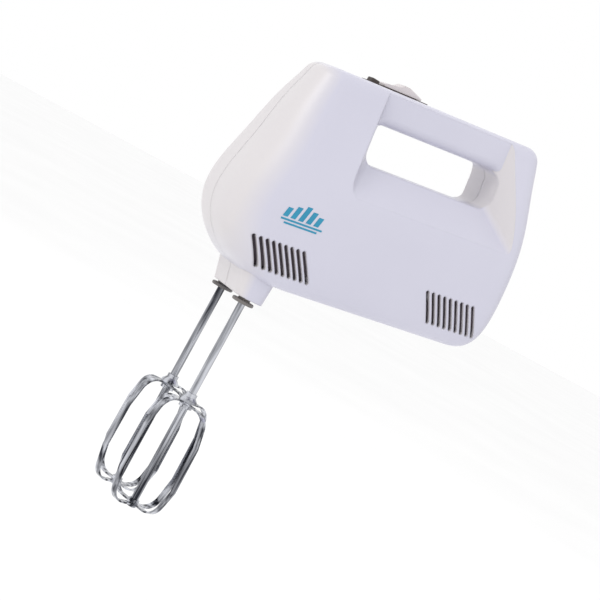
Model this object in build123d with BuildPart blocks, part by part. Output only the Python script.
from build123d import *
import math
import os

os.makedirs("parts", exist_ok=True)

# Hand mixer, millimetres. +Z is up along the beater stems, the nose points to -X, left is -Y.

# ---- driving sizes -------------------------------------------------------------------------
tilt = 8.0              # the body rises towards the rear, measured against the stems
body_height = 143.0     # keel to handle top
body_half = 39.6        # half width of the lower body
top_half = 18.5         # half width of the handle top
crown_r = 10.5          # rounding all round the top
wall = 2.5              # housing wall
spindle_x = -56.0       # both spindles stand at this station
spindle_y = 19.0        # half the spacing of the spindles
boss_z = 153.0          # underside of the spindle boss
boss_foot_r = 7.6       # end radius of the boss at its foot and at its root
boss_root_r = 10.6
boss_root_z = 172.0
boss_heel = 4.5         # extra length of the boss behind the spindles
boss_lean = 2.2         # the boss leans forward towards its root
keel_z = 166.5          # keel line over the spindles
middle_shift = -3.1     # sets the origin under the middle of the finished mixer
run_fit = 0.05          # radial running fit

opening_front = 40.0    # hand opening, along the body
opening_rear = 142.0
opening_floor = 92.5
opening_roof = 120.0
opening_r = 9.0
scoop_lead = 1.5        # the scoops start this far inside the ends of the opening
grip_half = 17.5
grip_round = 6.0

motor_z = 215.0         # motor line, square to the stems
shaft_r = 3.0
worm_r = 4.6            # pitch radius of the worm
wheel_teeth = 30
wheel_width = 6.0
wheel_r = spindle_y - worm_r
tooth_pitch = 2 * math.pi * wheel_r / wheel_teeth
addendum = 0.85
dedendum = 1.15

stem_r = 2.5
stem_top = 218.0
sleeve_r = 4.0
sleeve_top = 229.0
cage_r = 26.0
cage_top = 77.0
blade_width = 4.2
blade_gauge = 1.1
collar_r = 7.5

vent_count = 9
vent_width = 2.5

slider_travel = 9.0
eject_travel = 5.0
button_u = 35.25         # station of the eject button on the crest

tc = math.cos(math.radians(tilt))
ts = math.sin(math.radians(tilt))
keel = Plane(origin=(spindle_x, 0, keel_z), x_dir=(tc, 0, ts), z_dir=(-ts, 0, tc))
flank = Plane(origin=(spindle_x, 0, keel_z), x_dir=(tc, 0, ts), z_dir=(0, -1, 0))
motor_face = Plane(origin=(0, 0, motor_z), x_dir=(0, 1, 0), z_dir=(1, 0, 0))
sides = (-1, 1)


def finish(solid, label):
    """Names a piece and writes it out."""
    placed = solid.moved(Location((middle_shift, 0, 0)))
    placed.label = label
    export_step(placed, "parts/" + label + ".step")


def at_keel(u, v):
    """World x and z of a station u along the body and v above the keel."""
    return spindle_x + u * tc - v * ts, keel_z + u * ts + v * tc


button_x, crest_z = at_keel(button_u, body_height)


def above_keel(point):
    """Height of a point over the keel line."""
    return (point.Z - keel_z) * tc - (point.X - spindle_x) * ts


# ---- the closed form of the body -----------------------------------------------------------
# height over the keel, front, rear, share of the flare from handle to body, front and rear corner radius
stations = (
    (0.0, 0.0, 151.0, 0.5924, 20.0, 10.0),
    (6.0, -17.0, 162.5, 0.9052, 25.0, 13.0),
    (18.0, -30.5, 168.8, 0.9858, 27.0, 14.0),
    (40.0, -40.5, 172.0, 1.0, 27.0, 14.0),
    (70.0, -35.0, 172.8, 0.9526, 26.0, 14.0),
    (95.0, -26.0, 171.6, 0.7346, 24.0, 14.0),
    (120.0, -17.2, 169.6, 0.3555, 20.0, 13.0),
    (143.0, -8.0, 166.8, 0.0, 15.0, 12.0),
)


def rear_at(v):
    """Station of the rear skin at a height over the keel."""
    low, high = [
        pair for pair in zip(stations, stations[1:])
        if pair[0][0] <= v / body_height * stations[-1][0] <= pair[1][0]
    ][0]
    share = (v / body_height * stations[-1][0] - low[0]) / (high[0] - low[0])
    return low[2] + share * (high[2] - low[2])


def body_form(inset):
    """Body without boss, scoops or opening, drawn in by inset on every side."""
    with BuildPart() as form:
        for rise, front, rear, flare, front_r, rear_r in stations:
            level = inset + rise / stations[-1][0] * (body_height - 2 * inset)
            half = top_half + flare * (body_half - top_half)
            with BuildSketch(keel.offset(level)) as ring:
                with BuildLine():
                    Polyline(
                        (front + inset, inset - half),
                        (rear - inset, inset - half),
                        (rear - inset, half - inset),
                        (front + inset, half - inset),
                        close=True,
                    )
                make_face()
                fillet(ring.vertices().sort_by(Axis.X)[:2], radius=front_r - inset)
                fillet(ring.vertices().sort_by(Axis.X)[-2:], radius=rear_r - inset)
        loft()
        crown = form.faces().sort_by(Axis((0, 0, 0), (-ts, 0, tc)))[-1]
        fillet(crown.edges(), radius=crown_r - inset)
    return form.part


def boss_form(inset, low):
    """Tapered rounded block around both spindles, longer behind them than in front."""
    with BuildPart() as form:
        for level, radius, lead in (
            (low, boss_foot_r, 0.0),
            (boss_root_z, boss_root_r, boss_lean),
        ):
            with BuildSketch(Plane.XY.offset(level)):
                with Locations((spindle_x - lead + boss_heel / 2, 0)):
                    RectangleRounded(
                        2 * (radius - inset) + boss_heel,
                        2 * (spindle_y + radius - inset),
                        radius - inset - 0.1,
                    )
        loft()
        extrude(form.faces().sort_by(Axis.Z)[-1], amount=10)
    return form.part


def scoop_form(side, grow):
    """Hollow beside the grip on one flank, grown outwards by the wall for the cavity."""
    with BuildPart() as form:
        for depth, front, rear, floor in (
            (grip_half - grow, opening_front + scoop_lead - grow, opening_rear - scoop_lead + grow, 94.0 - grow),
            (grip_half + 30.5, 24.0 - grow, 168.0 + grow, 61.0 - grow),
        ):
            with BuildSketch(flank.offset(-side * depth)):
                with BuildLine():
                    Polyline((front, floor), (rear, floor), (rear, 175), (front, 175), close=True)
                make_face()
        loft(ruled=True)
        low = form.edges().filter_by(Axis.Y, reverse=True).sort_by(Axis((0, 0, 0), (-ts, 0, tc)))
        ramps = [edge for edge in low if abs(edge.tangent_at(0.5).Y) > 0.4]
        ramps = sorted(ramps, key=lambda edge: edge.center().Z)[:2]
        fillet(sorted(ramps, key=lambda edge: edge.center().X)[0], radius=12.0 - grow)
        ends = [edge for edge in form.edges() if abs(edge.tangent_at(0.5).Y) > 0.4]
        rear_low = sorted(ends, key=lambda edge: edge.center().Z - 3 * edge.center().X)[0]
        fillet(rear_low, radius=6.0 - grow)
    return form.part


def opening_form(grow):
    """Through opening for the hand."""
    with BuildPart() as form:
        with BuildSketch(flank):
            with Locations(((opening_front + opening_rear) / 2, (opening_floor + opening_roof) / 2)):
                RectangleRounded(
                    opening_rear - opening_front + 2 * grow,
                    opening_roof - opening_floor + 2 * grow,
                    opening_r + grow,
                )
        extrude(amount=60, both=True)
    return form.part


def flank_bar(u, v, radius):
    """Round bar straight across the body."""
    with BuildPart() as bar:
        with BuildSketch(flank):
            with Locations((u, v)):
                Circle(radius)
        extrude(amount=45, both=True)
    return bar.part


with BuildPart() as outer:
    add(body_form(0))
    add(boss_form(0, boss_z))
    for side in sides:
        add(scoop_form(side, 0), mode=Mode.SUBTRACT)
    add(opening_form(0), mode=Mode.SUBTRACT)
    # rounded underside of the grip
    roof = [
        edge
        for edge in outer.edges()
        if abs(abs(edge.center().Y) - grip_half) < 0.01 and above_keel(edge.center()) > opening_roof - 4
        and above_keel(edge.center()) < opening_roof + 0.1
    ]
    fillet(roof, radius=grip_round)

with BuildPart() as inner:
    add(body_form(wall))
    add(boss_form(wall, boss_z + 4))
    for side in sides:
        add(scoop_form(side, wall), mode=Mode.SUBTRACT)
    add(opening_form(wall), mode=Mode.SUBTRACT)


# ---- housing halves ------------------------------------------------------------------------
screw_spots = ((-30.0, 32.0), (-4.0, 117.0), (56.0, 84.0), (154.0, 52.0), (157.0, 112.0))
post_r = 3.6
screw_r = 1.5
head_r = 2.8
screw_length = 20.0
front_rib_x = -32.0
rear_rib_x = 52.0
frame_half = 30.0       # half width of the gear frame wall and of the rear bracket
wall_high = 26.0        # half height of the gear frame wall and of the rear bracket
stator_high = 27.0
plate_front, plate_rear, plate_half = 29.0, 77.0, 6.5
slot_front = 49.2
slot_rear = slot_front + 7.0 + slider_travel + 0.6
gland_v = 85.0
gland_u = rear_at(gland_v) + 0.2   # the skin bulges a little between its stations
gland_r = 6.0
board_z = 256.0

rear_face = Plane(origin=(*at_keel(gland_u, gland_v)[:1], 0, at_keel(gland_u, gland_v)[1]),
                  x_dir=(0, 1, 0), z_dir=(tc, 0, ts))
vents = []
for n in range(vent_count):
    vents.append(((-20.4 + 4.45 * n, 28.0), (-10.4 + 4.45 * n, 10.5)))
    vents.append(((110.2 + 4.65 * n, 30.2), (118.9 + 4.6 * n, 11.6)))


def bar_x(x_low, x_high, radius, y=0.0, z=0.0):
    """Round bar along the motor line, y and z measured from it."""
    with BuildPart() as bar:
        with BuildSketch(motor_face.offset(x_low)):
            with Locations((y, z)):
                Circle(radius)
        extrude(amount=x_high - x_low)
    return bar.part


def bar_z(z_low, z_high, radius, x=0.0, y=0.0):
    """Round bar along the stems."""
    with BuildPart() as bar:
        with BuildSketch(Plane.XY.offset(z_low)):
            with Locations((x, y)):
                Circle(radius)
        extrude(amount=z_high - z_low)
    return bar.part


with BuildPart() as cavity:
    add(inner.part)
    for u, v in screw_spots:
        add(flank_bar(u, v, post_r), mode=Mode.SUBTRACT)
    # ribs that carry the gear frame and the rear bracket
    with Locations((front_rib_x, 0, 202)):
        Box(3, 90, 90, mode=Mode.SUBTRACT)
    with Locations((rear_rib_x, 0, 202)):
        Box(3, 90, 90, mode=Mode.SUBTRACT)
    # ribs under the circuit board, and the seat of the return spring
    for x in (33.0, 68.0):
        with Locations((x, 0, board_z - 5)):
            Box(3, 90, 10, mode=Mode.SUBTRACT)
    with Locations((button_x, 0, 251)):
        Box(26, 90, 3, mode=Mode.SUBTRACT)

# one half with everything both halves share
with BuildPart() as half_shell:
    add(outer.part)
    add(cavity.part, mode=Mode.SUBTRACT)
    split(bisect_by=Plane.XZ, keep=Keep.TOP)
    # windows of the ribs
    with Locations((front_rib_x, 0, motor_z)):
        Box(4, 2 * frame_half, 2 * wall_high, mode=Mode.SUBTRACT)
    with Locations((rear_rib_x, 0, motor_z)):
        Box(4, 2 * frame_half, 2 * wall_high, mode=Mode.SUBTRACT)
    add(bar_z(245, 257, 3.3, button_x), mode=Mode.SUBTRACT)
    # seat of the spindle bush in the boss floor
    add(bar_z(boss_z - 1, boss_z + 6, 6.0, spindle_x, -spindle_y), mode=Mode.SUBTRACT)
    # seat of the switch plate, slot of the slider stem, well of the eject button
    with BuildSketch(keel.offset(body_height - 1.2)):
        with Locations(((plate_front + plate_rear) / 2, 0)):
            RectangleRounded(plate_rear - plate_front, 2 * plate_half, 3)
    extrude(amount=12, mode=Mode.SUBTRACT)
    with BuildSketch(keel.offset(body_height - 6)):
        with Locations(((slot_front + slot_rear) / 2, 0)):
            Rectangle(slot_rear - slot_front, 6.4)
    extrude(amount=12, mode=Mode.SUBTRACT)
    with BuildSketch(Plane.XY.offset(crest_z - 13)):
        with Locations((button_x, 0)):
            RectangleRounded(6.8, 8.8, 1.4)
    extrude(amount=24, mode=Mode.SUBTRACT)
    # mouth of the cord gland
    with BuildSketch(rear_face.offset(-8)):
        Circle(gland_r)
    extrude(amount=16, mode=Mode.SUBTRACT)
    # vent slots through the flank
    with BuildSketch(flank.offset(22)):
        for top, foot in vents:
            lean = math.degrees(math.atan2(top[1] - foot[1], top[0] - foot[0]))
            span = math.hypot(top[0] - foot[0], top[1] - foot[1])
            with Locations(((top[0] + foot[0]) / 2, (top[1] + foot[1]) / 2)):
                SlotCenterToCenter(span, vent_width, rotation=lean)
    extrude(amount=25, mode=Mode.SUBTRACT)

with BuildPart() as left_housing:
    add(half_shell.part)
    # blind screw pilots
    with BuildSketch(flank.offset(12)):
        for u, v in screw_spots:
            with Locations((u, v)):
                Circle(screw_r)
    extrude(amount=-20, mode=Mode.SUBTRACT)
finish(left_housing.part, "left_housing")

with BuildPart() as right_housing:
    mirror(half_shell.part, about=Plane.XZ)
    # clearance holes and counterbores of the screws
    with BuildSketch(flank.offset(5)):
        for u, v in screw_spots:
            with Locations((u, v)):
                Circle(screw_r)
    extrude(amount=-30, mode=Mode.SUBTRACT)
    with BuildSketch(flank.offset(-8)):
        for u, v in screw_spots:
            with Locations((u, v)):
                Circle(head_r + 0.3)
    extrude(amount=-40, mode=Mode.SUBTRACT)
finish(right_housing.part, "right_housing")

with BuildPart() as housing_screws:
    for u, v in screw_spots:
        with BuildSketch(flank.offset(-8)):
            with Locations((u, v)):
                Circle(head_r)
        extrude(amount=-2.2)
        with BuildSketch(flank.offset(-8)):
            with Locations((u, v)):
                Circle(screw_r)
        extrude(amount=screw_length - 1)
        with BuildSketch(flank.offset(-9)):
            with Locations((u, v)):
                Rectangle(3.4, 0.8)
                Rectangle(0.8, 3.4)
        extrude(amount=-3, mode=Mode.SUBTRACT)
finish(housing_screws.part, "housing_screws")

# ---- switch plate, slider and eject gear ---------------------------------------------------
plate_top = body_height + 0.7
with BuildPart() as switch_plate:
    with BuildSketch(keel.offset(body_height - 1.2)):
        with Locations(((plate_front + plate_rear) / 2, 0)):
            RectangleRounded(plate_rear - plate_front - 0.2, 2 * plate_half - 0.2, 2.9)
    extrude(amount=1.9)
    with BuildSketch(keel.offset(body_height - 2)):
        with Locations(((slot_front + slot_rear) / 2, 0)):
            Rectangle(slot_rear - slot_front, 6.4)
    extrude(amount=4, mode=Mode.SUBTRACT)
    with BuildSketch(Plane.XY.offset(crest_z - 8)):
        with Locations((button_x, 0)):
            RectangleRounded(6.8, 8.8, 1.4)
    extrude(amount=14, mode=Mode.SUBTRACT)
finish(switch_plate.part, "switch_plate")

slider_low = plate_top + 0.3
slider_front = 42.0     # clear of the eject button at the slowest step
with BuildPart() as speed_slider:
    with BuildSketch(flank):
        with BuildLine():
            Polyline(
                (slider_front, slider_low), (71.0, slider_low), (71.0, slider_low + 1.2),
                (64.5, slider_low + 3.6), (60.5, slider_low + 5.0), (55.5, slider_low + 5.2),
                (52.5, slider_low + 3.0), (slider_front + 1, slider_low + 2.1), (slider_front, slider_low + 1.4),
                close=True,
            )
        make_face()
    extrude(amount=5.5, both=True)
    upper = speed_slider.edges().filter_by(lambda edge: edge.length > 1).sort_by(Axis.Z)
    brow = [edge for edge in upper if abs(edge.center().Y) > 5.4 and edge.center().Z > at_keel(56, slider_low)[1] + 1.5]
    fillet(brow, radius=0.8)
    # grip ridges on the thumb hump
    with BuildSketch(keel.offset(slider_low + 4.5)):
        with GridLocations(1.6, 0, 3, 1):
            with Locations((58.0, 0)):
                Rectangle(0.6, 12)
    extrude(amount=2, mode=Mode.SUBTRACT)
    # stem down into the switch
    with BuildSketch(keel.offset(slider_low + 0.2)):
        with Locations((56.0, 0)):
            Rectangle(7.0, 5.6)
    extrude(amount=-(slider_low + 0.2 - 137.0))
finish(speed_slider.part, "speed_slider")

with BuildPart() as switch_body:
    with BuildSketch(keel.offset(opening_roof + wall)):
        with Locations((53.0, 0)):
            Rectangle(30, 16)
    extrude(amount=16.0)
    # trough of the slider stem
    with BuildSketch(keel.offset(134.0)):
        with Locations(((slot_front + slot_rear) / 2, 0)):
            Rectangle(slot_rear - slot_front + 1, 6.4)
    extrude(amount=6, mode=Mode.SUBTRACT)
finish(switch_body.part, "switch_body")

with BuildPart() as switch_terminals:
    for y in (-4.0, 0.0, 4.0):
        with BuildSketch(Plane(origin=(at_keel(68.0, 0)[0], 0, at_keel(68.0, 0)[1]),
                               x_dir=(0, 1, 0), z_dir=(tc, 0, ts))):
            with Locations((y, 128.5)):
                Rectangle(2.4, 0.8)
        extrude(amount=4)
finish(switch_terminals.part, "switch_terminals")

yoke_z = 235.0
rod_r = 2.5
rod_top = crest_z - 6
rod_collar = 268.0
nub_top = at_keel(33.7, body_height)[1] + 3.2
with BuildPart() as eject_yoke:
    with BuildSketch(Plane.XY.offset(yoke_z)):
        with Locations((spindle_x, 0)):
            SlotCenterToCenter(2 * spindle_y, 8, rotation=90)
        with Locations(((spindle_x + button_x) / 2, 0)):
            Rectangle(button_x - spindle_x + 6, 8)
    extrude(amount=3)
    for side in sides:
        add(bar_z(stem_top + eject_travel + 0.3, yoke_z, 2.0, spindle_x, side * spindle_y))
    add(bar_z(yoke_z + 3, rod_top, rod_r, button_x))
    add(bar_z(rod_collar, rod_collar + 2, 6.0, button_x))
finish(eject_yoke.part, "eject_yoke")

with BuildPart() as eject_button:
    with BuildSketch(Plane.XY.offset(rod_top)):
        with Locations((button_x, 0)):
            RectangleRounded(6.0, 8.0, 1.0)
    extrude(amount=nub_top - rod_top)
    crown = eject_button.faces().sort_by(Axis.Z)[-1]
    fillet(crown.edges(), radius=0.8)
finish(eject_button.part, "eject_button")

spring_low, spring_high = 252.5, rod_collar
with BuildPart() as eject_spring:
    with BuildLine() as coil:
        Helix(pitch=2.5, height=spring_high - spring_low - 1.0, radius=4.2,
              center=(button_x, 0, spring_low + 0.5))
    with BuildSketch(Plane(origin=coil.line @ 0, z_dir=coil.line % 0)):
        Circle(0.5)
    sweep()
finish(eject_spring.part, "eject_spring")

# ---- gear frame, lid, bushes and bearings ---------------------------------------------------
frame_low, frame_high = motor_z - 18, motor_z + 14
plate_gauge = 3.0
with BuildPart() as gear_frame:
    with BuildSketch(Plane.XY.offset(frame_low)):
        with Locations((-55.0, 0)):
            RectangleRounded(42, 66, 6)
    extrude(amount=plate_gauge)
    # rear wall, seated in the front rib, and front wall for the end of the motor shaft
    with Locations((front_rib_x, 0, motor_z)):
        Box(4, 2 * frame_half, 2 * wall_high)
    with Locations((-74.5, 0, (frame_low + frame_high - plate_gauge) / 2)):
        Box(3, 20, frame_high - plate_gauge - frame_low)
    for x, y in ((-72.0, 28.0), (-37.0, 29.0)):
        for side in sides:
            add(bar_z(frame_low, frame_high - plate_gauge, 2.6, x, side * y))
            add(bar_z(frame_high - 12, frame_high, 1.0, x, side * y), mode=Mode.SUBTRACT)
    add(bar_x(-40, -20, 8.0), mode=Mode.SUBTRACT)
    add(bar_x(-80, -70, 4.5), mode=Mode.SUBTRACT)
    for side in sides:
        add(bar_z(frame_low - 1, frame_low + 4, 5.5, spindle_x, side * spindle_y), mode=Mode.SUBTRACT)
        for z in (-20.0, 20.0):
            add(bar_x(-40, -20, 1.5, side * 24.0, z), mode=Mode.SUBTRACT)
finish(gear_frame.part, "gear_frame")

with BuildPart() as gear_lid:
    with BuildSketch(Plane.XY.offset(frame_high - plate_gauge)):
        with Locations((-55.2, 0)):
            RectangleRounded(42, 66, 6)
    extrude(amount=plate_gauge)
    for side in sides:
        add(bar_z(frame_high - 4, frame_high + 1, 5.5, spindle_x, side * spindle_y), mode=Mode.SUBTRACT)
        for x, y in ((-72.0, 28.0), (-37.0, 29.0)):
            add(bar_z(frame_high - 4, frame_high + 1, 1.0, x, side * y), mode=Mode.SUBTRACT)
finish(gear_lid.part, "gear_lid")

with BuildPart() as lid_screws:
    for x, y in ((-72.0, 28.0), (-37.0, 29.0)):
        for side in sides:
            add(bar_z(frame_high - 11, frame_high, 1.0, x, side * y))
            add(bar_z(frame_high, frame_high + 1.4, 2.0, x, side * y))
finish(lid_screws.part, "lid_screws")

with BuildPart() as spindle_bushes:
    for side in sides:
        for low in (frame_low, frame_high - plate_gauge):
            add(bar_z(low, low + plate_gauge, 5.5, spindle_x, side * spindle_y))
            add(bar_z(low - 1, low + 5, sleeve_r + run_fit, spindle_x, side * spindle_y), mode=Mode.SUBTRACT)
finish(spindle_bushes.part, "spindle_bushes")

with BuildPart() as boss_bushes:
    for side in sides:
        add(bar_z(boss_z, boss_z + 4, 6.0, spindle_x, side * spindle_y))
        add(bar_z(boss_z - 1, boss_z + 5, sleeve_r + run_fit, spindle_x, side * spindle_y), mode=Mode.SUBTRACT)
finish(boss_bushes.part, "boss_bushes")

with BuildPart() as shaft_bearings:
    add(bar_x(-34.5, -29.5, 8.0))
    add(bar_x(50, 55, 8.0))
    add(bar_x(-40, 60, shaft_r + run_fit), mode=Mode.SUBTRACT)
    add(bar_x(-76, -73, 4.5))
    add(bar_x(-80, -70, 2.5 + run_fit), mode=Mode.SUBTRACT)
finish(shaft_bearings.part, "shaft_bearings")

# ---- motor ---------------------------------------------------------------------------------
core_front, core_rear = -5.0, 25.0
armature_r = 17.0
bore_r = 17.6
with BuildPart() as stator_core:
    with BuildSketch(motor_face.offset(core_front)):
        RectangleRounded(2 * frame_half, 2 * stator_high, 8)
        Circle(22.5, mode=Mode.SUBTRACT)
        Rectangle(22, 48)
        Circle(bore_r, mode=Mode.SUBTRACT)
        for y in (-24.0, 24.0):
            for z in (-20.0, 20.0):
                with Locations((y, z)):
                    Circle(1.5, mode=Mode.SUBTRACT)
    extrude(amount=core_rear - core_front)
finish(stator_core.part, "stator_core")

with BuildPart() as field_coils:
    with BuildSketch(motor_face.offset(core_front - 6)):
        Circle(22.2)
        Circle(bore_r + 0.4, mode=Mode.SUBTRACT)
        Rectangle(60, 1.6, mode=Mode.SUBTRACT)
    extrude(amount=core_rear - core_front + 12)
    with Locations(((core_front + core_rear) / 2, 0, motor_z)):
        Box(core_rear - core_front, 22, 60, mode=Mode.SUBTRACT)
finish(field_coils.part, "field_coils")

with BuildPart() as rear_bracket:
    with Locations((rear_rib_x, 0, motor_z)):
        Box(4, 2 * frame_half, 2 * wall_high)
    for z in (-21.0, 21.0):
        with Locations((rear_rib_x, 0, motor_z + z)):
            Box(6, 26, 8, mode=Mode.SUBTRACT)
    add(bar_x(48, 58, 8.0), mode=Mode.SUBTRACT)
    for side in sides:
        for z in (-20.0, 20.0):
            add(bar_x(48, 58, 1.5, side * 24.0, z), mode=Mode.SUBTRACT)
        # arms of the brush holders
        with Locations((47.0, side * 19.0, motor_z)):
            Box(6, 9, 8)
finish(rear_bracket.part, "rear_bracket")

with BuildPart() as motor_bolts:
    for side in sides:
        for z in (-20.0, 20.0):
            add(bar_x(front_rib_x - 2, rear_rib_x + 2, 1.5, side * 24.0, z))
            add(bar_x(rear_rib_x + 2, rear_rib_x + 4.4, 2.8, side * 24.0, z))
finish(motor_bolts.part, "motor_bolts")

brush_x = 39.5
commutator_r = 9.0
with BuildPart() as brush_holders:
    for side in sides:
        with Locations((brush_x, side * 17.5, motor_z)):
            Box(9, 13, 8)
            Box(7, 20, 6, mode=Mode.SUBTRACT)
        with Locations((brush_x, side * 23.5, motor_z)):
            Box(9, 1.0, 8)
finish(brush_holders.part, "brush_holders")

with BuildPart() as carbon_brushes:
    for side in sides:
        with Locations((brush_x, side * 12.5, motor_z)):
            Box(7 - 0.1, 9, 6 - 0.1)
    add(bar_x(30, 50, commutator_r + run_fit), mode=Mode.SUBTRACT)
finish(carbon_brushes.part, "carbon_brushes")

with BuildPart() as brush_springs:
    for side in sides:
        with BuildLine(mode=Mode.ADD) as coil:
            Helix(pitch=1.3, height=5.0, radius=2.0, center=(brush_x, side * 17.5, motor_z),
                  direction=(0, side, 0))
        with BuildSketch(Plane(origin=coil.line @ 0, z_dir=coil.line % 0)):
            Circle(0.35)
        sweep(path=coil.line)
finish(brush_springs.part, "brush_springs")

# ---- rotor ---------------------------------------------------------------------------------
tooth_gap = 0.30        # side play of the worm in the wheels
with BuildPart() as motor_shaft:
    add(bar_x(-77, -42, 2.5))
    add(bar_x(-42, 58, shaft_r))
finish(motor_shaft.part, "motor_shaft")

thread_turns = 6
worm_start = spindle_x - (thread_turns / 2 - 0.25) * tooth_pitch
thread_root = worm_r - dedendum
thread_gauge = tooth_pitch / 2 - tooth_gap
thread_lean = math.tan(math.radians(20))
with BuildPart() as worm:
    with BuildLine() as lead:
        Helix(pitch=tooth_pitch, height=thread_turns * tooth_pitch, radius=worm_r,
              center=(worm_start, 0, motor_z), direction=(1, 0, 0))
    outwards = (lead.line @ 0) - Vector(worm_start, 0, motor_z)
    with BuildSketch(Plane(origin=lead.line @ 0, x_dir=outwards, z_dir=lead.line % 0)):
        with BuildLine():
            Polyline(
                (-dedendum - 0.3, -thread_gauge / 2 - dedendum * thread_lean),
                (addendum, -thread_gauge / 2 + addendum * thread_lean),
                (addendum, thread_gauge / 2 - addendum * thread_lean),
                (-dedendum - 0.3, thread_gauge / 2 + dedendum * thread_lean),
                close=True,
            )
        make_face()
    sweep(path=lead.line, is_frenet=True)
    add(bar_x(worm_start - 2.5, worm_start + thread_turns * tooth_pitch + 2.5, thread_root))
    add(bar_x(-80, -40, 2.5), mode=Mode.SUBTRACT)
finish(worm.part, "worm")

with BuildPart() as armature_core:
    with BuildSketch(motor_face.offset(core_front)):
        Circle(armature_r)
        with PolarLocations(12.2, 12):
            Rectangle(7.0, 3.0, mode=Mode.SUBTRACT)
        with PolarLocations(16.4, 12):
            Rectangle(3.0, 1.4, mode=Mode.SUBTRACT)
        Circle(shaft_r, mode=Mode.SUBTRACT)
    extrude(amount=core_rear - core_front)
finish(armature_core.part, "armature_core")

with BuildPart() as armature_windings:
    with BuildSketch(motor_face.offset(core_front - 5)):
        with PolarLocations(12.2, 12):
            Rectangle(6.8, 2.8)
    extrude(amount=core_rear - core_front + 10)
    for low in (core_front - 6, core_rear + 1):
        with BuildSketch(motor_face.offset(low)):
            Circle(15.4)
            Circle(5.0, mode=Mode.SUBTRACT)
        extrude(amount=5)
finish(armature_windings.part, "armature_windings")

with BuildPart() as commutator:
    add(bar_x(33.5, 46, commutator_r))
    add(bar_x(31.0, 33.5, commutator_r + 2.0))
    with BuildSketch(motor_face.offset(30)):
        with PolarLocations(commutator_r, 24):
            Rectangle(1.2, 0.4)
    extrude(amount=20, mode=Mode.SUBTRACT)
    add(bar_x(30, 50, shaft_r), mode=Mode.SUBTRACT)
finish(commutator.part, "commutator")

with BuildPart() as cooling_fan:
    add(bar_x(-25, -14, 5.5))
    add(bar_x(-16, -14, 22.0))
    with BuildSketch(motor_face.offset(-25)):
        with PolarLocations(15.0, 9):
            Rectangle(14.0, 1.4, rotation=18)
    extrude(amount=9)
    add(bar_x(-26, -13, shaft_r), mode=Mode.SUBTRACT)
finish(cooling_fan.part, "cooling_fan")

# ---- spindles ------------------------------------------------------------------------------
tip_r = wheel_r + addendum
root_r = wheel_r - dedendum
lead_angle = math.atan(tooth_pitch / (2 * math.pi * worm_r))
twist = math.degrees(wheel_width * math.tan(lead_angle) / wheel_r)


def tooth_ring(turn):
    """Outline of the wheel teeth as one closed run of points."""
    points = []
    step = 2 * math.pi / wheel_teeth
    flank_lean = math.tan(math.radians(20))
    half = (tooth_pitch / 4 - tooth_gap / 2) / wheel_r
    for n in range(wheel_teeth):
        middle = n * step + math.radians(turn)
        foot = half + dedendum * flank_lean / wheel_r
        tip = half - addendum * flank_lean / wheel_r
        for angle, radius in ((-foot, root_r), (-tip, tip_r), (tip, tip_r), (foot, root_r)):
            points.append((radius * math.cos(middle + angle), radius * math.sin(middle + angle)))
    return points


for side, name, phase in ((-1, "left", 180.0 / wheel_teeth), (1, "right", 0.0)):
    with BuildPart() as wheel:
        for level in (-1, 1):
            with BuildSketch(Plane.XY.offset(motor_z + level * wheel_width / 2)):
                with Locations((spindle_x, side * spindle_y)):
                    Polygon(*tooth_ring(phase + level * twist / 2), align=None)
        loft(ruled=True)
        add(bar_z(frame_low + plate_gauge + 0.3, frame_high - plate_gauge - 0.3, 6.5,
                  spindle_x, side * spindle_y))
        add(bar_z(frame_low, frame_high, sleeve_r, spindle_x, side * spindle_y), mode=Mode.SUBTRACT)
    finish(wheel.part, name + "_worm_wheel")
    with BuildPart() as sleeve:
        add(bar_z(boss_z, sleeve_top, sleeve_r, spindle_x, side * spindle_y))
        add(bar_z(boss_z - 1, sleeve_top + 1, stem_r + run_fit, spindle_x, side * spindle_y),
            mode=Mode.SUBTRACT)
    finish(sleeve.part, name + "_spindle")

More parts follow.
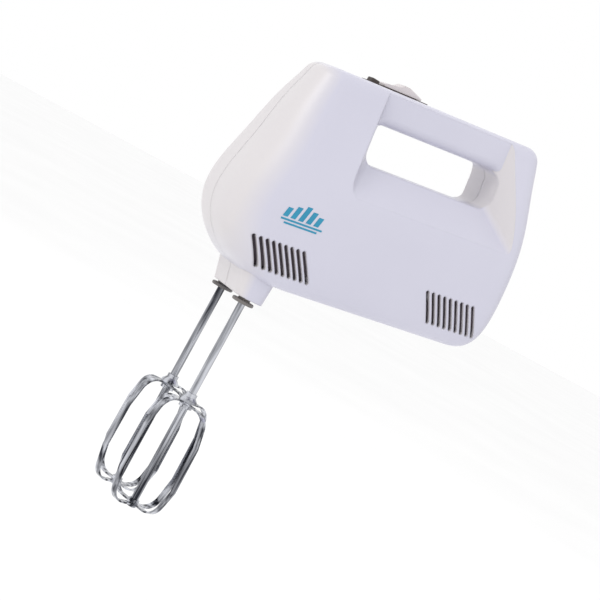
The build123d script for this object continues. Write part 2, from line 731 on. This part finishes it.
# ---- beaters -------------------------------------------------------------------------------
tip_head = 1.2
turn = 22.5             # both cages stand alike, so the blades of one pass between those of the other
for side, name in ((-1, "left"), (1, "right")):
    y = side * spindle_y
    with BuildPart() as stem:
        add(bar_z(tip_head, stem_top, stem_r, spindle_x, y))
        add(bar_z(0.0, tip_head, 3.4, spindle_x, y))
        fillet(stem.faces().sort_by(Axis.Z)[0].edges(), radius=0.8)
        chamfer(stem.faces().sort_by(Axis.Z)[-1].edges(), length=0.8)
        add(bar_z(tip_head + 2 * blade_gauge, tip_head + 2 * blade_gauge + 2.0, 3.6, spindle_x, y))
    finish(stem.part, name + "_beater_stem")
    with BuildPart() as collar:
        add(bar_z(boss_z - 4.0, boss_z - 1.8, collar_r, spindle_x, y))
        fillet(collar.edges(), radius=0.7)
        add(bar_z(boss_z - 1.8, boss_z - 0.6, 4.2, spindle_x, y))
        add(bar_z(boss_z - 10, boss_z + 2, stem_r, spindle_x, y), mode=Mode.SUBTRACT)
    finish(collar.part, name + "_beater_collar")
    with BuildPart() as hub:
        with BuildSketch(Plane(origin=(spindle_x, y, 0), x_dir=(1, 0, 0), z_dir=(0, -1, 0))):
            with BuildLine():
                Polyline((0, cage_top), (6.4, cage_top), (6.0, cage_top + 1.4), (3.8, cage_top + 3.6),
                         (3.8, cage_top + 6.0), (0, cage_top + 6.0), close=True)
            make_face()
        revolve(axis=Axis((spindle_x, y, 0), (0, 0, 1)))
        add(bar_z(cage_top - 2 * blade_gauge - 2.0, cage_top - 2 * blade_gauge, 4.6, spindle_x, y))
        add(bar_z(60.0, 90.0, stem_r, spindle_x, y), mode=Mode.SUBTRACT)
    finish(hub.part, name + "_beater_hub")
    with BuildPart() as blades:
        for bend, inset in ((turn, 0.0), (turn + 90, blade_gauge)):
            reach = (math.cos(math.radians(bend)), math.sin(math.radians(bend)), 0)
            across = (reach[1], -reach[0], 0)
            with BuildSketch(Plane(origin=(spindle_x, y, 0), x_dir=reach, z_dir=across)) as loop:
                with BuildLine():
                    Polyline(
                        (-20.5, cage_top - inset), (20.5, cage_top - inset), (cage_r - 0.3, 55),
                        (cage_r + 0.3, 24), (20.5, tip_head + inset), (-20.5, tip_head + inset),
                        (-cage_r - 0.3, 24), (0.3 - cage_r, 55), close=True,
                    )
                make_face()
                bends = loop.vertices().sort_by(Axis.Y)
                fillet(bends[:2] + bends[-2:], radius=12)
                offset(amount=-blade_gauge, mode=Mode.SUBTRACT)
            extrude(amount=blade_width / 2, both=True)
        add(bar_z(-5.0, 90.0, stem_r, spindle_x, y), mode=Mode.SUBTRACT)
    finish(blades.part, name + "_beater_blades")

# ---- electrics and cord gland --------------------------------------------------------------
with BuildPart() as cord_gland:
    with BuildSketch(rear_face.offset(-9)):
        Circle(gland_r)
    extrude(amount=9.5)
    with BuildSketch(rear_face.offset(0.5)):
        Circle(gland_r + 1.5)
    extrude(amount=0.9)
    with BuildSketch(rear_face.offset(-10)):
        Circle(3.3)
    extrude(amount=20, mode=Mode.SUBTRACT)
finish(cord_gland.part, "cord_gland")

# dust screens behind the vents
with BuildPart() as vent_screens:
    for u_low, u_high in ((-24.5, 29.0), (103.0, 162.0)):
        with BuildSketch(flank):
            with Locations(((u_low + u_high) / 2, 21.0)):
                Rectangle(u_high - u_low, 25.0)
        extrude(amount=45, both=True)
    add(body_form(wall + 0.3), mode=Mode.INTERSECT)
    add(body_form(wall + 1.3), mode=Mode.SUBTRACT)
    with Locations((front_rib_x, 0, 202)):
        Box(3, 90, 90, mode=Mode.SUBTRACT)
    with Locations((rear_rib_x, 0, 202)):
        Box(3, 90, 90, mode=Mode.SUBTRACT)
    Box(400, 40, 800, mode=Mode.SUBTRACT)
finish(vent_screens.part, "vent_screens")

board_gauge = 1.6
board_top = board_z + board_gauge
with BuildPart() as circuit_board:
    with Locations((48, 0, board_z + board_gauge / 2)):
        Box(52, 44, board_gauge)
finish(circuit_board.part, "circuit_board")

with BuildPart() as capacitor:
    with Locations((42, 0, board_top + 4.2)):
        Box(18, 11, 8.4)
    fillet(capacitor.edges().filter_by(Axis.Z), radius=1.0)
finish(capacitor.part, "capacitor")

with BuildPart() as board_parts:
    for x, y, across, deep, high in (
        (58, -8, 6, 9, 6.0),
        (58, 6, 4, 10, 3.0),
        (30, 12, 8, 5, 2.6),
        (66, -2, 5, 5, 3.4),
        (30, -12, 10, 3, 2.6),
    ):
        with Locations((x, y, board_top + high / 2)):
            Box(across, deep, high)
finish(board_parts.part, "board_parts")

lead_r = 0.9
runs = (
    (3.0, ((159.5, 86.0), (148.0, 94.0), (148.0, 129.9), (68.5, 129.9))),
    (7.4, ((37.0, 126.0), (31.0, 121.0), (31.0, 95.0), (42.0, 84.0), (47.0, 77.0), (80.0, 77.0),
           (87.0, 81.2), (92.0, 81.2))),
)
with BuildPart() as lead_wires:
    for off, run in runs:
        for side in sides:
            with BuildLine(flank.offset(side * off)) as path:
                FilletPolyline(*run, radius=3.0)
            with BuildSketch(Plane(origin=path.line @ 0, z_dir=path.line % 0)):
                Circle(lead_r)
            sweep(path=path.line)
    for side in sides:
        add(bar_z(motor_z + 21.1, board_z, lead_r, 28.0, side * 8.0))
finish(lead_wires.part, "lead_wires")
